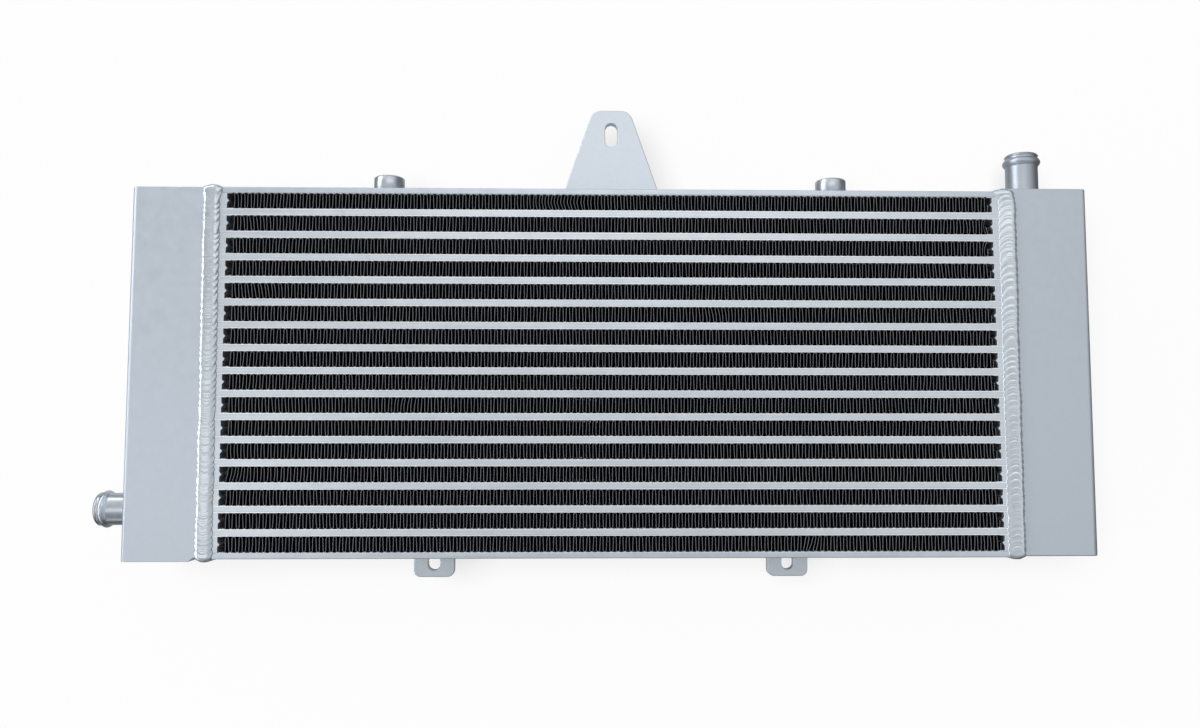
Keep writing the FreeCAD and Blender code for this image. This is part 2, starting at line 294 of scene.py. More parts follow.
def box_of(node):
    """Lowest and highest corner of a node as arrays."""
    low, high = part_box(node)
    return np.array(low), np.array(high)


core_low, core_high = box_of("bottom_end_plate")[0], box_of("top_end_plate")[1]


# Meshes from grids of points

def grid_faces(rows, columns, round_rows=False, round_columns=False):
    """Corner numbers of the four-sided faces of a grid whose points are numbered row by row."""
    row, column = np.meshgrid(
        np.arange(rows if round_rows else rows - 1),
        np.arange(columns if round_columns else columns - 1), indexing="ij")
    next_row = (row + 1) % rows
    next_column = (column + 1) % columns
    corners = [row * columns + column, row * columns + next_column,
               next_row * columns + next_column, next_row * columns + column]
    return np.stack(corners, -1).reshape(-1, 4)


def volume_of(points, faces):
    """Six times the volume that four-sided faces enclose, from one triangle fan a face."""
    a, b, c, d = (points[faces[:, i]] for i in range(4))
    return np.einsum("ij,ij->", a, np.cross(b, c)) + np.einsum("ij,ij->", a, np.cross(c, d))


def linked(name, data):
    """New object that holds the data, put in the scene."""
    thing = bpy.data.objects.new(name, data)
    bpy.context.scene.collection.objects.link(thing)
    return thing


def add_piece(name, points, faces, ends, material, slot, replaced, flats=True):
    """Mesh of four-sided faces and many-sided end faces, turned outwards and given its material."""
    points = points.reshape(-1, 3)
    rings = [list(ring) for ring in ends]
    fans = [np.stack([np.full(len(ring) - 2, ring[0]), ring[1:-1], ring[2:], ring[2:]], -1)
            for ring in map(np.array, rings)]
    if volume_of(points, np.concatenate([faces] + fans)) < 0:
        faces = faces[:, ::-1]
        rings = [ring[::-1] for ring in rings]
    mesh = bpy.data.meshes.new(name)
    mesh.from_pydata(points.tolist(), [], faces.tolist() + rings)
    mesh.shade_smooth()
    mesh.materials.append(material)
    piece = linked(name, mesh)
    if flats:
        piece.modifiers.new("true flats", "WEIGHTED_NORMAL")
    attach(piece, "root")
    if replaced:
        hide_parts(*replaced)


def rounded_outline(corners, radii, steps):
    """Closed outline with round corners and its outward normals.

    The corners run counter-clockwise. At each corner the normal turns evenly from one side's to
    the next one's, and the point is the arc's centre plus the radius times the normal.
    """
    corners = np.array(corners, float)
    radii = np.broadcast_to(radii, len(corners))[:, None]
    along = np.roll(corners, -1, 0) - corners
    along /= np.linalg.norm(along, axis=1, keepdims=True)
    before = np.roll(along, 1, 0)
    bend = np.arctan2(before[:, 0] * along[:, 1] - before[:, 1] * along[:, 0],
                      (before * along).sum(1))[:, None]
    hand = np.sign(bend)
    facing = np.stack([before[:, 1], -before[:, 0]], 1)
    centre = corners - before * radii * np.tan(np.abs(bend) / 2) - facing * radii * hand
    angle = bend * np.linspace(0, 1, steps + 1)
    cos, sin = np.cos(angle)[..., None], np.sin(angle)[..., None]
    normals = facing[:, None] * cos + before[:, None] * sin
    points = centre[:, None] + (hand * radii)[:, None] * normals
    return points.reshape(-1, 2), normals.reshape(-1, 2)


def lengths_along(outline):
    """Length from the start of a closed outline to each of its points, and back to the start."""
    closed = np.vstack([outline, outline[:1]])
    return np.r_[0, np.cumsum(np.linalg.norm(np.diff(closed, axis=0), axis=1))]


def refined(points, normals, step):
    """The same closed outline with extra points, so that no side is longer than one step."""
    lengths = lengths_along(points)
    places = np.union1d(lengths, np.arange(0, lengths[-1], step))[:-1]
    finer = []
    for values in (points, normals):
        closed = np.vstack([values, values[:1]])
        finer.append(np.stack([np.interp(places, lengths, closed[:, i]) for i in range(2)], 1))
    return finer[0], finer[1] / np.linalg.norm(finer[1], axis=1, keepdims=True)


def edge_profile(low, high, edge):
    """Heights and insets of the rings of a slab: a quarter round, the side, a quarter round."""
    angle = np.linspace(0, turn / 4, edge_steps + 1)
    inset = edge * (1 - np.sin(angle))
    rise = edge * (1 - np.cos(angle))
    return np.r_[low + rise, (high - rise)[::-1]], np.r_[inset, inset[::-1]]


def end_faces(rows, columns):
    """The two many-sided faces that close the first and last row of a grid."""
    return [np.arange(columns)[::-1], (rows - 1) * columns + np.arange(columns)]


def slab(outline, normals, low, high, edge):
    """Points, faces and end faces of a slab with rounded edges: outline minus inset times normal."""
    heights, insets = edge_profile(low, high, edge)
    flat = outline[None] - insets[:, None, None] * normals[None]
    rows, columns = flat.shape[:2]
    height = np.broadcast_to(heights[:, None, None], (rows, columns, 1))
    points = np.concatenate([flat, height], -1).reshape(-1, 3)
    return points, grid_faces(rows, columns, round_columns=True), end_faces(rows, columns)


def joined(parts):
    """One set of points, faces and end faces out of several."""
    points, faces, ends, count = [], [], [], 0
    for part_points, part_faces, part_ends in parts:
        points.append(part_points)
        faces.append(part_faces + count)
        ends += [ring + count for ring in part_ends]
        count += len(part_points)
    return np.concatenate(points), np.concatenate(faces), ends


def rectangle(low, high):
    """Corners of an upright rectangle, counter-clockwise."""
    return [(low[0], low[1]), (high[0], low[1]), (high[0], high[1]), (low[0], high[1])]


def block(low, high, edge):
    """Long block along X whose edges are rounded all round."""
    outline, normals = rounded_outline(rectangle(low[1:], high[1:]), edge * corner_share, corner_steps)
    points, faces, ends = slab(outline, normals, low[0], high[0], edge)
    return points[:, [2, 0, 1]], faces, ends


# Finishes

long_along_x = (0.03, 1.0, 1.0)
rings_round_x = (1.0, 0.02, 0.02)
rings_round_z = (0.02, 0.02, 1.0)
relief_depth = 0.05 * mm


def node_group(name, inputs, outputs):
    """Empty node group with named float inputs and outputs."""
    group = bpy.data.node_groups.new(name, "ShaderNodeTree")
    for label, value in inputs:
        socket = group.interface.new_socket(label, in_out="INPUT", socket_type="NodeSocketFloat")
        socket.default_value = value
    for label in outputs:
        group.interface.new_socket(label, in_out="OUTPUT", socket_type="NodeSocketFloat")
    return group, group.nodes.new("NodeGroupInput"), group.nodes.new("NodeGroupOutput")


def wired(tree, kind, links, **settings):
    """New node with its settings, and each input either linked to a socket or set to a value."""
    node = tree.nodes.new("ShaderNode" + kind)
    for key, value in settings.items():
        setattr(node, key, value)
    for label, source in links.items():
        if isinstance(source, bpy.types.NodeSocket):
            tree.links.new(source, node.inputs[label])
        else:
            node.inputs[label].default_value = source
    return node


def ramp(tree, source, stops):
    """Colour ramp over a value, from (place, grey or colour) stops."""
    node = wired(tree, "ValToRGB", {"Fac": source})
    elements = node.color_ramp.elements
    while len(elements) < len(stops):
        elements.new(0.5)
    for element, (place, shade) in zip(elements, stops):
        element.position = place
        element.color = (*shade, 1) if isinstance(shade, tuple) else (shade, shade, shade, 1)
    return node.outputs["Color"]


def worked_out(tree, operation, *values):
    """Result of a Math node over sockets or numbers."""
    return wired(tree, "Math", dict(enumerate(values)), operation=operation).outputs[0]


def own_place(tree):
    """Each point's place in the part's own frame."""
    return tree.nodes.new("ShaderNodeTexCoord").outputs["Object"]


def stretched(tree, squeeze):
    """Each point's place with its axes squeezed, so that a pattern runs long where the share is small."""
    return wired(tree, "Mapping", {"Vector": own_place(tree), "Scale": squeeze}).outputs[0]


def noise(tree, place, scale, detail, roughness):
    """Smooth noise over a place."""
    return wired(tree, "TexNoise", {"Vector": place, "Scale": scale, "Detail": detail,
                                    "Roughness": roughness}).outputs["Fac"]


def mottle_group():
    """Cloudy patches a few millimetres across, and a fine grain."""
    group, given, result = node_group(
        "blasted mottle", [("Patch Scale", 160.0), ("Grain Scale", 2600.0)], ["Patches", "Grain"])
    place = own_place(group)
    patches = noise(group, place, given.outputs["Patch Scale"], 4.0, 0.6)
    grain = noise(group, place, given.outputs["Grain Scale"], 2.0, 0.7)
    group.links.new(patches, result.inputs["Patches"])
    group.links.new(grain, result.inputs["Grain"])
    return group


def drawn_group():
    """Fine lines left by drawing or rolling, long along X."""
    group, given, result = node_group("drawn lines", [("Line Scale", 900.0)], ["Lines"])
    lines = noise(group, stretched(group, long_along_x), given.outputs["Line Scale"], 3.0, 0.65)
    group.links.new(lines, result.inputs["Lines"])
    return group


mottle = mottle_group()
drawn = drawn_group()


def principled(name, values):
    """New material, its tree, and its Principled shader with the values on the sockets named."""
    material = bpy.data.materials.new(name)
    material.use_nodes = True
    tree = material.node_tree
    shader = tree.nodes["Principled BSDF"]
    for label, value in values.items():
        shader.inputs[label].default_value = value
    return material, tree, shader


def metal(name, values, patch_scale):
    """Principled material with the shared mottle placed in its tree; the mottle comes last."""
    material, tree, shader = principled(name, values)
    cloud = wired(tree, "Group", {"Patch Scale": patch_scale}, node_tree=mottle)
    return material, tree, shader, cloud.outputs


def toned(tree, shader, factor, dark, light, gloss, roughness, spread):
    """Base colour from dark to light with a factor, and roughness spread about its mean by gloss."""
    colour = wired(tree, "Mix", {0: factor, 6: (*dark, 1), 7: (*light, 1)}, data_type="RGBA")
    tree.links.new(colour.outputs[2], shader.inputs["Base Color"])
    rough = ramp(tree, gloss, [(0.3, roughness - spread), (0.7, roughness + spread)])
    tree.links.new(rough, shader.inputs["Roughness"])


def streaked(tree, shader, lines, patches, dark, light, roughness, spread):
    """Colour that follows the mean of fine lines and cloudy patches, and gloss that follows the lines."""
    mean = worked_out(tree, "MULTIPLY", worked_out(tree, "ADD", lines, patches), 0.5)
    factor = ramp(tree, mean, [(0.35, 0.0), (0.65, 1.0)])
    toned(tree, shader, factor, dark, light, lines, roughness, spread)


def bumped(tree, shader, height, strength):
    """Fine relief on the shader's normal."""
    bump = wired(tree, "Bump", {"Height": height, "Strength": strength, "Distance": relief_depth})
    tree.links.new(bump.outputs["Normal"], shader.inputs["Normal"])


def blasted_metal(name, dark, light, roughness, relief):
    """Matt bead-blasted aluminium: cloudy in colour, grainy in relief."""
    material, tree, shader, cloud = metal(name, {"Metallic": 0.85}, 170.0)
    both = worked_out(tree, "MULTIPLY", cloud["Patches"], cloud["Grain"])
    factor = ramp(tree, both, [(0.12, 0.0), (0.42, 1.0)])
    toned(tree, shader, factor, dark, light, cloud["Patches"], roughness, 0.06)
    bumped(tree, shader, cloud["Grain"], relief)
    return material


def drawn_metal(name, dark, light, roughness):
    """Brazed bar stock: long fine lines in colour, gloss and relief."""
    material, tree, shader, cloud = metal(name, {"Metallic": 0.85}, 120.0)
    lines = wired(tree, "Group", {}, node_tree=drawn).outputs["Lines"]
    streaked(tree, shader, lines, cloud["Patches"], dark, light, roughness, 0.08)
    bumped(tree, shader, lines, 0.25)
    return material


def turned_metal(name, dark, light, roughness, squeeze):
    """Turned aluminium: fine rings round the axis, as noise that runs long across that axis."""
    material, tree, shader, cloud = metal(name, {"Metallic": 0.9}, 120.0)
    rings = noise(tree, stretched(tree, squeeze), 1100.0, 3.0, 0.6)
    streaked(tree, shader, rings, cloud["Patches"], dark, light, roughness, 0.02)
    return material


def fin_painted_shade_metal():
    """Thin fin sheet with painted shade: grey cut edges at both faces, painted black in the depth between."""
    values = {"Metallic": 0.0, "Specular IOR Level": 0.0, "Roughness": 0.6}
    material, tree, shader, cloud = metal("fin sheet with painted shade", values, 60.0)
    # Painted shade: black where the fin walls lie deep in the core, grey at the cut edges, with random darker
    # patches
    split = wired(tree, "SeparateXYZ", {"Vector": own_place(tree)})
    side = worked_out(tree, "ABSOLUTE", split.outputs["Y"])
    depth = wired(tree, "MapRange", {"Value": side, "From Min": fin_shade_from, "From Max": fin_shade_to})
    shade = ramp(tree, depth.outputs[0], fin_shades)
    patchy = ramp(tree, cloud["Patches"], [(0.3, 0.8), (0.55, 1.0)])
    mixed = wired(tree, "VectorMath", {0: shade, 1: patchy}, operation="MULTIPLY")
    tree.links.new(mixed.outputs[0], shader.inputs["Base Color"])
    return material


tank_finish = blasted_metal("blasted tank", (0.56, 0.62, 0.69), (0.63, 0.69, 0.76), 0.50, 0.3)
mount_finish = blasted_metal("blasted mount", (0.60, 0.66, 0.72), (0.71, 0.77, 0.83), 0.44, 0.25)
weld_finish = blasted_metal("bright weld", (0.58, 0.64, 0.70), (0.69, 0.75, 0.80), 0.30, 0.15)
upright_finish = turned_metal("turned upright", (0.43, 0.475, 0.53), (0.49, 0.535, 0.59), 0.42, rings_round_z)
boss_finish = turned_metal("turned boss", (0.54, 0.59, 0.65), (0.60, 0.65, 0.71), 0.33, rings_round_z)
level_finish = turned_metal("turned level", (0.50, 0.55, 0.61), (0.56, 0.61, 0.67), 0.30, rings_round_x)
bar_finish = drawn_metal("brazed bar", (0.62, 0.68, 0.75), (0.72, 0.78, 0.84), 0.42)
# Parting sheets near white, brighter than the bars: the extra is painted highlight of light their edges catch
# from above
sheet_painted_highlight_finish = drawn_metal("parting sheet with painted highlight", (0.93, 0.97, 1.0), (0.97, 0.99, 1.0), 0.36)
braze_finish = drawn_metal("bright braze", (0.78, 0.84, 0.90), (0.88, 0.92, 0.96), 0.40)
plate_finish = drawn_metal("end plate", (0.56, 0.62, 0.69), (0.65, 0.71, 0.78), 0.42)
fin_painted_shade_finish = fin_painted_shade_metal()
turbulator_finish = drawn_metal("turbulator sheet", (0.30, 0.32, 0.35), (0.38, 0.40, 0.43), 0.4)


# Core

def fin_places(row, length):
    """Where the upright walls of one row stand along its length, from its middle."""
    random = np.random.default_rng(row)
    wall = np.arange(fin_walls)
    paired = fin_pairing * np.cos(wall * fin_pairing_wave + row) * np.where(wall % 2, 1, -1)
    even = (wall + 0.5) * length / fin_walls - length / 2
    return even + paired + random.normal(0, fin_jitter, fin_walls)


def fin_section(row, length, height):
    """Outline of a folded sheet in the plane of the core's face, centred on (0, 0).

    The middle line has a wall at each place along the row, and half an ellipse over each gap,
    above and below in turn; the walls lean towards the fold that joins them. The sheet's skins are
    that line moved by half the gauge along its normal. Every height is then shifted sideways by a
    lean and a bow that wander along the row, with a bell-shaped push at each dent.
    """
    random = np.random.default_rng(fin_seed + row)
    wall = np.arange(fin_walls)
    place = fin_places(row, length)
    half_gap = np.diff(place)[:, None] / 2
    middle = (place[:-1, None] + place[1:, None]) / 2
    upper = np.where(wall[:-1] % 2, 1.0, -1.0)[:, None]
    fold = (height - fin_sheet) * fin_fold_share
    straight = (height - fin_sheet) / 2 - fold
    angle = np.linspace(0, turn / 2, fin_fold_steps + 1)
    along_row = middle - (half_gap - fin_splay) * np.cos(angle)
    over = np.stack([along_row, upper * (straight + fold * np.sin(angle))], -1)
    centre = np.stack([place[1:], np.zeros(fin_walls - 1)], -1)[:, None]
    line = np.concatenate([over, centre], 1).reshape(-1, 2)
    along = np.gradient(line, axis=0)
    along /= np.linalg.norm(along, axis=1, keepdims=True)
    normal = np.stack([-along[:, 1], along[:, 0]], 1)
    skins = np.concatenate([line + normal * fin_sheet / 2, (line - normal * fin_sheet / 2)[::-1]])
    level = skins[:, 1] / (height / 2)
    knots = np.linspace(-length / 2, length / 2, fin_walls // fin_group)
    unrest = fin_unrest + (2 * knots / length) ** 4
    lean, bow = (np.interp(skins[:, 0], knots, random.normal(0, size, len(knots)) * unrest)
                 for size in (fin_lean, fin_bow))
    for dented_row, dent, width, dent_bow, dent_lean in fin_dents:
        if dented_row == row:
            push = np.exp(-((skins[:, 0] - dent) / width) ** 2)
            bow = bow + push * dent_bow
            lean = lean + push * dent_lean
    skins[:, 0] += lean * level + bow * (1 - level ** 2)
    skins[:, 0] = np.clip(skins[:, 0], -length / 2, length / 2)
    return skins


def fin_room(row):
    """Where the flat faces of the closing bars stand at the left and right end of one row."""
    left = box_of("air_bars_left")[1][0] - nose_depth
    right = box_of("air_bars_right")[0][0] + nose_depth
    top, bottom = right_bar_drift
    return left + left_bar_drift, right + bottom + (top - bottom) * (row - 1) / (fin_rows - 1)


def fin_span(row):
    """Middle and length of one folded sheet along the core."""
    left_face, right_face = fin_room(row)
    return (left_face + right_face) / 2, right_face - left_face - 2 * (fin_weave.max() + fin_end_room)


def fin_row(row):
    """One folded fin sheet: its section carried from the front face to the back along a zigzag."""
    name = f"fin_row_{row:02d}"
    low, high = box_of(name)
    centre = (low + high) / 2
    centre[0], length = fin_span(row)
    skins = fin_section(row, length, high[2] - low[2])
    points = np.empty((len(fin_stations), len(skins), 3))
    points[..., 0] = centre[0] + skins[:, 0] + fin_weave[:, None]
    points[..., 1] = low[1] + fin_stations[:, None]
    points[..., 2] = centre[2] + skins[:, 1]
    count = len(skins)
    edge = np.arange(count // 2 - 1)
    front = np.stack([edge, count - 1 - edge, count - 2 - edge, edge + 1], -1)
    back = front[:, ::-1] + (len(fin_stations) - 1) * count
    faces = np.concatenate([grid_faces(*points.shape[:2], round_columns=True), front, back])
    add_piece("folded_" + name, points, faces, [], fin_painted_shade_finish, "fins", [name], flats=False)


def braze_fillets(side):
    """Wavy line of braze metal at the foot and head of every fin row, on one face of the core.

    Its height swells at every fold that meets the sheet and sinks away at the open gap beside it,
    so the line is straight along the core and scalloped towards the fins.
    """
    parts = []
    for row in range(1, fin_rows + 1):
        low, high = box_of(f"fin_row_{row:02d}")
        face, inside = (low[1], 1) if side == "front" else (high[1], -1)
        middle, length = fin_span(row)
        walls = middle + fin_places(row, length)
        gaps = (walls[:-1] + walls[1:]) / 2
        x = np.r_[core_low[0], np.sort(np.r_[walls, gaps]), core_high[0]]
        columns = len(x)
        random = np.random.default_rng(braze_seed + row)
        # Walls are the odd points, and gaps the even ones, folded over below and above in turn
        step = np.arange(columns) % 4
        for foot, up, folds in ((low[2], 1, 2), (high[2], -1, 0)):
            share = np.select([step == folds, step % 2 == 1], [1.0, braze_at_walls], 0.0)
            share[[0, 1, -2, -1]] = braze_at_ends
            swell = braze_low + (braze_high - braze_low) * share * random.uniform(braze_least, 1, columns)
            sunk = np.full(columns, -braze_sink)
            section = np.empty((columns, 3, 3))
            section[..., 0] = x[:, None]
            section[..., 1] = face + inside * np.array([-braze_proud, braze_crest, braze_depth])
            section[..., 2] = foot + up * np.stack([sunk, swell, sunk], 1)
            faces = grid_faces(columns, 3, round_columns=True)
            ends = end_faces(columns, 3)
            if volume_of(section.reshape(-1, 3), faces) < 0:
                faces = faces[:, ::-1]
                ends = [ring[::-1] for ring in ends]
            parts.append((section.reshape(-1, 3), faces, ends))
    add_piece(f"{side}_braze_fillets", *joined(parts), braze_finish, "core_bars", [], flats=False)


def water_bar_pair(level):
    """The front and back bar of one water passage, with slightly rounded edges."""
    name = f"water_bars_{level:02d}"
    low, high = box_of(name)
    front = block(low, np.array([high[0], low[1] + water_bar_width, high[2]]), bar_edge)
    back = block(np.array([low[0], high[1] - water_bar_width, low[2]]), high, bar_edge)
    add_piece("drawn_" + name, *joined([front, back]), bar_finish, "core_bars", [name])


def parting_sheets():
    """The thin sheets above and below every water bar, near white: in part painted highlight."""
    sheets = []
    for level in range(1, water_levels + 1):
        low, high = box_of(f"water_bars_{level:02d}")
        for bottom in (low[2] - parting_sheet_gauge, high[2]):
            near = (low[0], core_low[1], bottom)
            far = (high[0], core_high[1], bottom + parting_sheet_gauge)
            sheets.append(block(near, far, sheet_edge))
    add_piece("parting_sheets_with_painted_highlight", *joined(sheets), sheet_painted_highlight_finish, "core_bars", ["parting_sheets"])


def air_bars(side):
    """The short bars at one end of the fin rows, each with a V nose towards the fins."""
    name = "air_bars_" + side
    low, high = box_of(name)
    bars = []
    for row in range(1, fin_rows + 1):
        fin_low, fin_high = box_of(f"fin_row_{row:02d}")
        bottom, top = fin_low[2] - braze_gap, fin_high[2] + braze_gap
        middle = (bottom + top) / 2
        half = nose_height / 2
        left_face, right_face = fin_room(row)
        if side == "right":
            corners = [(high[0], bottom), (high[0], top), (right_face, top), (right_face, middle + half),
                       (right_face - nose_depth, middle), (right_face, middle - half),
                       (right_face, bottom)]
        else:
            corners = [(low[0], bottom), (left_face, bottom), (left_face, middle - half),
                       (left_face + nose_depth, middle), (left_face, middle + half),
                       (left_face, top), (low[0], top)]
        outline, normals = rounded_outline(corners, bar_edge * corner_share, corner_steps)
        points, faces, ends = slab(outline, normals, low[1], high[1], bar_edge)
        bars.append((points[:, [0, 2, 1]], faces, ends))
    add_piece("drawn_" + name, *joined(bars), bar_finish, "core_bars", [name])


def end_plate(name):
    """One of the two thick plates that close the stack."""
    low, high = box_of(name)
    add_piece("drawn_" + name, *block(low, high, plate_edge), plate_finish, "core_bars", [name])


# Tanks

def softened(node, edge, material):
    """Copy of a node's own mesh with merged corners and rounded edges."""
    piece = linked("blasted_" + node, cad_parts[node].data.copy())
    piece.data.materials.clear()
    piece.data.materials.append(material)
    weld = piece.modifiers.new("merged corners", "WELD")
    weld.merge_threshold = tank_merge
    bevel = piece.modifiers.new("rounded edges", "BEVEL")
    bevel.width = edge
    bevel.segments = 3
    bevel.limit_method = "ANGLE"
    bevel.angle_limit = math.radians(tank_fold)
    bevel.harden_normals = True
    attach(piece, "root")
    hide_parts(node)


# Weld beads

def add_weld(node, points, faces, ends):
    """Weld that stands for a node of the same name."""
    add_piece("rippled_" + node, points, faces, ends, weld_finish, "weld_bead", [node], flats=False)


def wandering(lengths, pitch, size, random):
    """Smooth random drift along a closed path, 0 at its start and end, with knots one pitch apart."""
    knots = np.linspace(0, lengths[-1] + lengths[1], round(lengths[-1] / pitch) + 1)
    return np.interp(lengths, knots, np.r_[0, random.normal(0, size, len(knots) - 2), 0])


def ripple_shape(phase, sharpness):
    """Overlapping scales: a steep front at every whole number, then a slow fall to the next one."""
    ripple = phase % 1
    return (1 - ripple) * (1 - np.exp(-ripple * sharpness)) * bead_ripple_gain


def core_weld(side):
    """Rippled bead round one joint of core and tank.

    The path is a rounded rectangle round the core. In front and behind, the bead's section is a
    low crown on two sloped flanks of different width, which the coarse ripples narrow and widen
    and which sink towards the lower end; above and below, the section is a plain arch. Coarse and
    fine ripples run across it like scales, each with a steep front, in lines that are bowed along
    the path. The toes stand out as scallops between the coarse fronts, and the bead swells and
    leans over at the core's upper corners.
    """
    name = side + "_core_weld"
    low, high = box_of(name)
    tank_low, tank_high = box_of(side + "_tank_shell")
    bottom = max(core_low[2], tank_low[2])
    top = min(core_high[2], tank_high[2])
    corners = rectangle((core_low[1], bottom), (core_high[1], top))
    outline, normals = refined(*rounded_outline(corners, bead_corner, bead_corner_steps), bead_step)
    lengths = lengths_along(outline)
    whole, lengths = lengths[-1], lengths[:-1]
    random = np.random.default_rng(bead_seed[side])
    across = np.linspace(-1, 1, bead_columns)
    place = lengths[:, None] + (1 - across ** 2)[None] * bead_bow[side]
    coarse_count = round(whole / bead_coarse_pitch)
    fine_count = round(whole / bead_fine_pitch)
    coarse_phase = place / whole * coarse_count + wandering(lengths, *coarse_wander, random)[:, None]
    fine_phase = place / whole * fine_count + wandering(lengths, *fine_wander, random)[:, None]
    strength = 1 + wandering(lengths, *strength_wander, random)[:, None]
    swell = np.exp(-((top - outline[:, 1]) / bead_swell_length) ** 2)[:, None]
    crown = bead_crown * (1 - across ** 2)
    arch = bead_arch * (1 - across ** 2)
    (left_rim, left_share), (right_rim, right_share) = bead_rims[side]
    broken = 1 + bead_break[side] * (ripple_shape(coarse_phase, bead_break_sharpness) - 0.5)
    lower = ((top - outline[:, 1]) / (top - bottom))[:, None]
    rims = left_rim + (right_rim - left_rim) * np.clip(across + 0.5, 0, 1)
    rims = rims * (1 - bead_settling[side] * lower)
    flanks = (rims * np.clip((1 + across) / (left_share * broken), 0, 1)
              * np.clip((1 - across) / (right_share * broken), 0, 1))
    coarse_height, fine_height = bead_ripples[side]
    upright = np.abs(normals[:, :1]) ** 2
    coarse = coarse_height * strength * ripple_shape(coarse_phase, bead_coarse_sharpness)
    fine = fine_height * (2 - strength) * ripple_shape(fine_phase, bead_fine_sharpness)
    height = upright * (crown + flanks) + (1 - upright) * arch + (coarse + fine) * (1 - across ** 4)
    height = np.minimum(height, bead_height - bead_room)
    height[:, [0, -1]] = bead_toe
    scallop = bead_scallop * np.abs(np.sin(coarse_phase * math.pi)) + bead_swell * swell
    left_reach, right_reach = bead_reach[side]
    half = (high[0] - low[0] + left_reach + right_reach) / 2
    width = half - bead_scallop + wandering(lengths, *width_wander, random)[:, None] + scallop
    x = (low[0] + high[0]) / 2 + wandering(lengths, *place_wander, random)[:, None] + across * width
    x = x + bead_lip[side] * swell + bead_drift[side] * lower + (right_reach - left_reach) / 2
    under = np.stack([x[:, -1] - bead_undercut, x[:, 0] + bead_undercut], 1)
    x = np.hstack([x, under])
    height = np.hstack([height, np.full(under.shape, -bead_sink)])
    points = np.empty(x.shape + (3,))
    points[..., 0] = x
    points[..., 1:] = outline[:, None] + normals[:, None] * height[..., None]
    faces = grid_faces(*x.shape, round_rows=True, round_columns=True)
    add_weld(name, points, faces, [])


def fillet(line, outwards, upwards, size, closed):
    """Fillet weld along a line in a corner: a fan of points from one face to the other.

    Each section is a flattened quarter round whose size changes along the line, plus the corner
    itself, all sunk a little into both faces.
    """
    angle = np.linspace(0, turn / 4, fillet_points)
    reach = 1 - fillet_flattening * np.sin(2 * angle)
    corner = np.zeros((len(line), 1))
    out = np.hstack([size[:, None] * reach * np.cos(angle), corner]) - fillet_sink
    up = np.hstack([size[:, None] * reach * np.sin(angle), corner]) - fillet_sink
    points = line[:, None] + out[..., None] * outwards[:, None] + up[..., None] * upwards[:, None]
    rows, columns = points.shape[:2]
    faces = grid_faces(rows, columns, round_rows=closed, round_columns=True)
    return points.reshape(-1, 3), faces, [] if closed else end_faces(rows, columns)


def away_from(axis, steps):
    """Angles all round an axis, and the unit vector that points away from it at each of them."""
    angle = np.linspace(0, turn, steps, endpoint=False)
    side = np.cross(axis, (0, 1, 0))
    return angle, np.cos(angle)[:, None] * side + np.sin(angle)[:, None] * np.array((0, 1.0, 0))


def ring_weld(node, centre, axis, radius, ripples):
    """Fillet weld round a port or boss."""
    axis = np.array(axis, float)
    angle, outwards = away_from(axis, ring_steps)
    line = np.array(centre) + radius * outwards
    size = fillet_size * (ring_least + ring_ripple * np.abs(np.sin(angle * ripples / 2))
                          + ring_swell * np.sin(3 * angle + 1))
    upwards = np.broadcast_to(axis, line.shape)
    add_weld(node, *fillet(line, outwards, upwards, size, True))


def straight_welds(node, runs):
    """Fillet welds along X, each run given as start, end, face, height and the way it points up."""
    parts = []
    for start, end, face, height, up in runs:
        steps = max(run_least_steps, int((end - start) / run_step))
        x = np.linspace(start, end, steps)
        ripples = np.abs(np.sin((x - start) / run_ripple_length * math.pi))
        from_middle = 2 * (x - start) / (end - start) - 1
        end_round = np.sqrt(np.clip(1 - from_middle ** run_end_power, run_end_least, 1))
        size = fillet_size * (run_least + run_ripple * ripples) * end_round
        line = np.stack([x, np.full(steps, face), np.full(steps, height)], 1)
        outwards = np.broadcast_to((0.0, np.sign(face), 0.0), line.shape)
        upwards = np.broadcast_to((0.0, 0.0, up), line.shape)
        parts.append(fillet(line, outwards, upwards, size, False))
    add_weld(node, *joined(parts))


# Turned pieces

def turned(profile, centre, axis, steps, closed, ends=False):
    """Surface of revolution: a profile of (radius, height) points carried round an axis."""
    axis = np.array(axis, float)
    around = away_from(axis, steps)[1]
    radius, height = profile[:, 0], profile[:, 1]
    points = np.array(centre) + radius[:, None, None] * around + height[:, None, None] * axis
    faces = grid_faces(len(profile), steps, round_rows=closed, round_columns=True)
    return points.reshape(-1, 3), faces, end_faces(len(profile), steps) if ends else []


def bulge(distance, width):
    """Half a cosine wave of the given width, 1 in its middle and 0 beyond its ends."""
    return np.sin(np.clip(1 - np.abs(distance) / (width / 2), 0, 1) * turn / 4)


def hose_port(which, centre, axis, length, finish):
    """Beaded hose port with a fine ring where its tip begins.

    The radius is the tube's plus half a cosine wave at the bead, drawn a little fuller, and half a
    cosine wave at the ring, as a function of the height; the tip is a quarter round, and the bore
    a plain cylinder with a narrow chamfer.
    """
    name = which + "_hose_port"
    bead = length - port_bead_setback
    curved = np.linspace(bead - port_plain_end, length - port_tip_round, port_heights)
    height = np.unique(np.r_[-port_sink, 0.0, curved])
    radius = port_radius + port_bead_height * bulge(height - bead, port_bead_width) ** port_bead_fullness
    radius = radius + port_ring_height * bulge(height - (length - port_ring_setback), port_ring_width)
    angle = np.linspace(0, turn / 4, 5)[1:]
    tip = np.stack([port_radius - port_tip_round * (1 - np.cos(angle)),
                    length - port_tip_round * (1 - np.sin(angle))], 1)
    bore = np.array([[port_bore + port_chamfer_width, length], [port_bore, length - port_chamfer_height],
                     [port_bore, -port_sink]])
    profile = np.vstack([np.stack([radius, height], 1), tip, bore])
    add_piece("turned_" + name, *turned(profile, centre, axis, port_steps, True), finish, "hose_port",
              [name], flats=False)


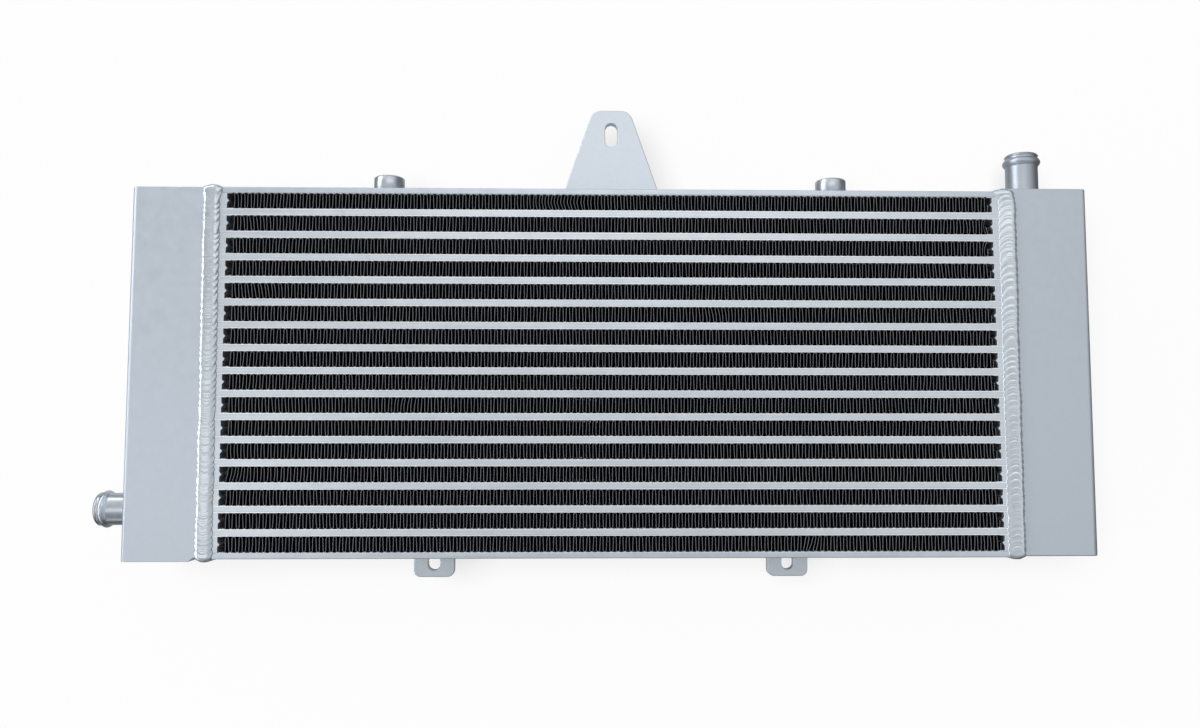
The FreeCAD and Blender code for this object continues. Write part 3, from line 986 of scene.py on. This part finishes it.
def boss(side):
    """Round boss with a threaded blind hole.

    Its outside is a cylinder with a chamfer whose corners are broken. In the hole the radius is the
    thread's least one plus a triangle wave of the height and the angle.
    """
    name = side + "_boss"
    low, high = box_of(name)
    radius = (high[0] - low[0]) / 2
    centre = ((low[0] + high[0]) / 2, 0, low[2])
    top = high[2] - low[2]
    wider, narrower = boss_chamfer * 1.1, boss_chamfer * 0.9
    outside = np.array([
        [radius, 0], [radius, top - wider], [radius - boss_break, top - narrower],
        [radius - narrower, top - boss_break], [radius - wider, top],
        [boss_thread_radius + boss_countersink + boss_break, top],
        [boss_thread_radius + boss_countersink, top - boss_break]])
    down = np.arange(top - boss_countersink, top - boss_thread_depth, -boss_thread_pitch / boss_thread_rings)
    inside = np.stack([np.full(len(down), boss_thread_radius), down], 1)
    profile = np.vstack([outside, inside])
    points, faces, ends = turned(profile, centre, (0, 0, 1), boss_steps, False, True)
    grid = points.reshape(len(profile), boss_steps, 3)
    angle = np.linspace(0, 1, boss_steps, endpoint=False)
    wave = np.abs(((down[1:-1, None] / boss_thread_pitch + angle) % 1) * 2 - 1)
    factor = 1 + (wave * boss_thread_height) / boss_thread_radius
    middle = np.array(centre[:2])
    thread = grid[len(outside) + 1:-1, :, :2]
    grid[len(outside) + 1:-1, :, :2] = middle + (thread - middle) * factor[..., None]
    add_piece("turned_" + name, grid, faces, ends, boss_finish, "boss", [name], flats=False)


# Bracket and tabs

def slotted_plate(node, corners, radii, slot_centre, slot_size, thickness):
    """Plate with an upright slot, as one surface closed both ways.

    One parameter runs round the outline. The other runs round the section: rounded front edge,
    side, rounded back edge, back face, slot wall with its rounded edges, front face. The slot's
    point for each outline point lies on the same ray from the slot's centre.
    """
    outline, normals = refined(*rounded_outline(corners, radii, mount_corner_steps), mount_step)
    rays = outline - slot_centre
    rays /= np.linalg.norm(rays, axis=1, keepdims=True)
    radius = slot_size[0] / 2
    straight = slot_size[1] / 2 - radius
    sideways, upright = np.abs(rays[:, 0]), np.abs(rays[:, 1])
    to_side = radius / np.maximum(sideways, 1e-9)
    to_cap = straight * upright + np.sqrt(np.maximum(radius ** 2 - (straight * sideways) ** 2, 0))
    reach = np.where(to_side * upright <= straight, to_side, to_cap)
    slot_flat = rays * reach[:, None]
    axis = np.stack([np.zeros(len(rays)), np.clip(slot_flat[:, 1], -straight, straight)], 1)
    slot_normals = (slot_flat - axis) / radius
    slot_outline = slot_centre + slot_flat
    heights, insets = edge_profile(-thickness / 2, thickness / 2, mount_edge)
    heights = np.r_[heights[:1], heights, heights[-1:]]
    face_inset = mount_edge + mount_margin
    insets = np.r_[face_inset, insets, face_inset]
    outer = outline[None] - insets[:, None, None] * normals[None]
    inner = slot_outline[None] + (insets * slot_edge_share)[:, None, None] * slot_normals[None]
    flat = np.concatenate([outer, inner])
    depth = np.r_[heights, heights[::-1]]
    points = np.empty(flat.shape[:2] + (3,))
    points[..., 0] = flat[..., 0]
    points[..., 1] = depth[:, None]
    points[..., 2] = flat[..., 1]
    faces = grid_faces(*flat.shape[:2], round_rows=True, round_columns=True)
    add_piece("blasted_" + node, points, faces, [], mount_finish, "mount_plate", [node])


def upper_bracket():
    """Tapered plate with round upper corners."""
    low, high = box_of("upper_bracket")
    half = bracket_top_width / 2
    foot = low[2] - foot_sink
    corners = [(low[0], foot), (high[0], foot), (half, high[2]), (-half, high[2])]
    radii = [foot_corner, foot_corner, bracket_corner, bracket_corner]
    centre = np.array([0, high[2] - bracket_slot_drop])
    slotted_plate("upper_bracket", corners, radii, centre, bracket_slot, high[1] - low[1])


def lower_tab(side):
    """Small plate with round lower corners."""
    name = side + "_lower_tab"
    low, high = box_of(name)
    foot = high[2] + foot_sink
    corners = [(low[0], low[2]), (high[0], low[2]), (high[0], foot), (low[0], foot)]
    radii = [tab_corner, tab_corner, foot_corner, foot_corner]
    centre = np.array([(low[0] + high[0]) / 2, 0.0])
    slotted_plate(name, corners, radii, centre, tab_slot, high[1] - low[1])


def tab_weld(side):
    """Short welds on both faces of a tab, on each side of its slot."""
    low, high = box_of(side + "_lower_tab")
    x = (low[0] + high[0]) / 2
    inner = tab_slot[0] / 2 + tab_weld_room
    outer = (high[0] - low[0]) / 2 - tab_weld_room
    runs = [(x + start, x + end, face, high[2], -1.0) for face in (low[1], high[1])
            for start, end in ((-outer, -inner), (inner, outer))]
    straight_welds(side + "_tab_weld", runs)


def bracket_weld():
    """One weld along the bracket's foot on each of its faces."""
    low, high = box_of("upper_bracket")
    end = high[0] - bracket_weld_room
    straight_welds("bracket_weld", [(-end, end, face, low[2], 1.0) for face in (low[1], high[1])])


# Stage

def aimed(direction):
    """Rotation that points a lamp along a direction."""
    return Vector(direction).to_track_quat("-Z", "Y").to_euler()


def backdrop_material():
    """Pale and softly glowing, and clear to everything but the camera's rays on its front side."""
    material, tree, shader = principled("pale backdrop", {
        "Base Color": (backdrop_grey, backdrop_grey, backdrop_grey, 1), "Specular IOR Level": 0.0,
        "Roughness": 1.0, "Emission Color": (1, 1, 1, 1), "Emission Strength": backdrop_glow})
    clear = tree.nodes.new("ShaderNodeBsdfTransparent")
    side = tree.nodes.new("ShaderNodeNewGeometry")
    path = tree.nodes.new("ShaderNodeLightPath")
    shown = worked_out(tree, "SUBTRACT", path.outputs["Is Camera Ray"], side.outputs["Backfacing"])
    mixed = wired(tree, "MixShader", {0: shown, 1: clear.outputs[0], 2: shader.outputs[0]})
    tree.links.new(mixed.outputs[0], tree.nodes["Material Output"].inputs["Surface"])
    return material


def backdrop():
    """Pale wall close behind the part that bends forward into a floor far below it.

    Only the camera sees it, and only from its front side. A soft lamp from the left lights nothing
    but this wall, and the part's shadow shows there.
    """
    angle = np.linspace(0, turn / 4, 13)
    bend = np.stack([backdrop_wall - backdrop_bend + backdrop_bend * np.cos(angle),
                     backdrop_floor + backdrop_bend - backdrop_bend * np.sin(angle)], 1)
    curve = np.vstack([[backdrop_wall, backdrop_top], bend, [backdrop_front, backdrop_floor]])
    points = np.empty((len(curve), 2, 3))
    points[..., 0] = np.array([-backdrop_half_width, backdrop_half_width])
    points[..., 1] = curve[:, :1]
    points[..., 2] = curve[:, 1:]
    mesh = bpy.data.meshes.new("pale_backdrop")
    mesh.from_pydata(points.reshape(-1, 3).tolist(), [], grid_faces(len(curve), 2)[:, ::-1].tolist())
    mesh.shade_smooth()
    mesh.materials.append(backdrop_material())
    obj = linked("pale_backdrop", mesh)
    lit = bpy.data.collections.new("lit by the shadow lamp")
    lit.objects.link(obj)
    data = bpy.data.lights.new("shadow lamp", "SUN")
    data.energy = shadow_lamp_strength
    data.angle = math.radians(shadow_lamp_width)
    lamp = linked("shadow lamp", data)
    lamp.rotation_euler = aimed(shadow_lamp_direction)
    lamp.light_linking.receiver_collection = lit


def studio():
    """White surroundings for the camera, and a studio of soft light for everything else.

    The light is a product of two ramps, one over the compass and one over the height above the
    horizon. Over the compass it is even in front and behind, dark at both sides, and has a narrow
    bright strip at the front left. The camera itself sees plain white.
    """
    world = bpy.data.worlds.new("white studio")
    world.use_nodes = True
    tree = world.node_tree
    split = wired(tree, "SeparateXYZ", {"Vector": tree.nodes.new("ShaderNodeTexCoord").outputs["Generated"]})
    forward = worked_out(tree, "MULTIPLY", split.outputs["Y"], -1.0)
    compass = worked_out(tree, "ARCTAN2", split.outputs["X"], forward)
    rise = worked_out(tree, "ARCSINE", split.outputs["Z"])
    ramps = []
    for angle, reach, stops in ((compass, 180, studio_compass), (rise, 90, studio_height)):
        place = wired(tree, "MapRange", {"Value": angle, "From Min": -math.radians(reach),
                                         "From Max": math.radians(reach)})
        ramps.append(ramp(tree, place.outputs[0], [((a + reach) / (2 * reach), shade) for a, shade in stops]))
    light = wired(tree, "VectorMath", {0: ramps[0], 1: ramps[1]}, operation="MULTIPLY")
    ambient = tree.nodes["Background"]
    tree.links.new(light.outputs[0], ambient.inputs["Color"])
    ambient.inputs["Strength"].default_value = studio_strength
    seen = wired(tree, "Background", {"Color": (1, 1, 1, 1), "Strength": backdrop_white})
    path = tree.nodes.new("ShaderNodeLightPath")
    mixed = wired(tree, "MixShader", {0: path.outputs["Is Camera Ray"], 1: ambient.outputs[0],
                                      2: seen.outputs[0]})
    tree.links.new(mixed.outputs[0], tree.nodes["World Output"].inputs["Surface"])
    bpy.context.scene.world = world


def softbox(name, place, aim, width, height, power):
    """Oblong lamp in front of the part, turned towards the point that it aims at."""
    data = bpy.data.lights.new(name, "AREA")
    data.shape = "RECTANGLE"
    data.size = width
    data.size_y = height
    data.energy = power
    lamp = linked(name, data)
    lamp.location = place
    lamp.rotation_euler = aimed(Vector(aim) - Vector(place))


def camera():
    """Camera at the photograph's place, without shift."""
    data = bpy.data.cameras.new("photo camera")
    data.lens = camera_lens
    data.sensor_width = camera_sensor
    data.clip_start = camera_nearest
    obj = linked("photo camera", data)
    obj.location = camera_place
    obj.rotation_euler = Euler([math.radians(a) for a in (90 + camera_tilt, camera_roll, camera_pan)])
    bpy.context.scene.camera = obj


for row in range(1, fin_rows + 1):
    fin_row(row)
for level in range(1, water_levels + 1):
    water_bar_pair(level)
parting_sheets()
for side in ("front", "back"):
    braze_fillets(side)
for side in ("left", "right"):
    air_bars(side)
    core_weld(side)
    for part, edge in (("shell", tank_edge[side]), ("top_cap", cap_edge), ("bottom_cap", cap_edge)):
        softened(f"{side}_tank_{part}", edge, tank_finish)
for name in ("bottom_end_plate", "top_end_plate"):
    end_plate(name)
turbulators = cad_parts["turbulators"]
turbulators.data.materials.clear()
turbulators.data.materials.append(turbulator_finish)

upper_low, upper_high = box_of("upper_hose_port")
lower_low, lower_high = box_of("lower_hose_port")
upper_x = (upper_low[0] + upper_high[0]) / 2
lower_z = (lower_low[2] + lower_high[2]) / 2
upper_foot = box_of("right_tank_shell")[1][2]
lower_foot = box_of("left_tank_shell")[0][0]
hose_port("upper", (upper_x, 0, upper_foot), (0, 0, 1), upper_high[2] - upper_foot, upright_finish)
hose_port("lower", (lower_foot, 0, lower_z), (-1, 0, 0), lower_foot - lower_low[0], level_finish)
ring_weld("upper_port_weld", (upper_x, 0, upper_foot), (0, 0, 1), port_radius, port_ripples)
ring_weld("lower_port_weld", (lower_foot, 0, lower_z), (-1, 0, 0), port_radius, port_ripples)
for side in ("left", "right"):
    boss(side)
    low, high = box_of(side + "_boss")
    foot = ((low[0] + high[0]) / 2, 0, low[2])
    ring_weld(side + "_boss_weld", foot, (0, 0, 1), (high[0] - low[0]) / 2, boss_ripples)
    lower_tab(side)
    tab_weld(side)
upper_bracket()
bracket_weld()

backdrop()
studio()
for softbox_values in softboxes:
    softbox(*softbox_values)
camera()
bpy.context.scene.view_settings.view_transform = "Standard"
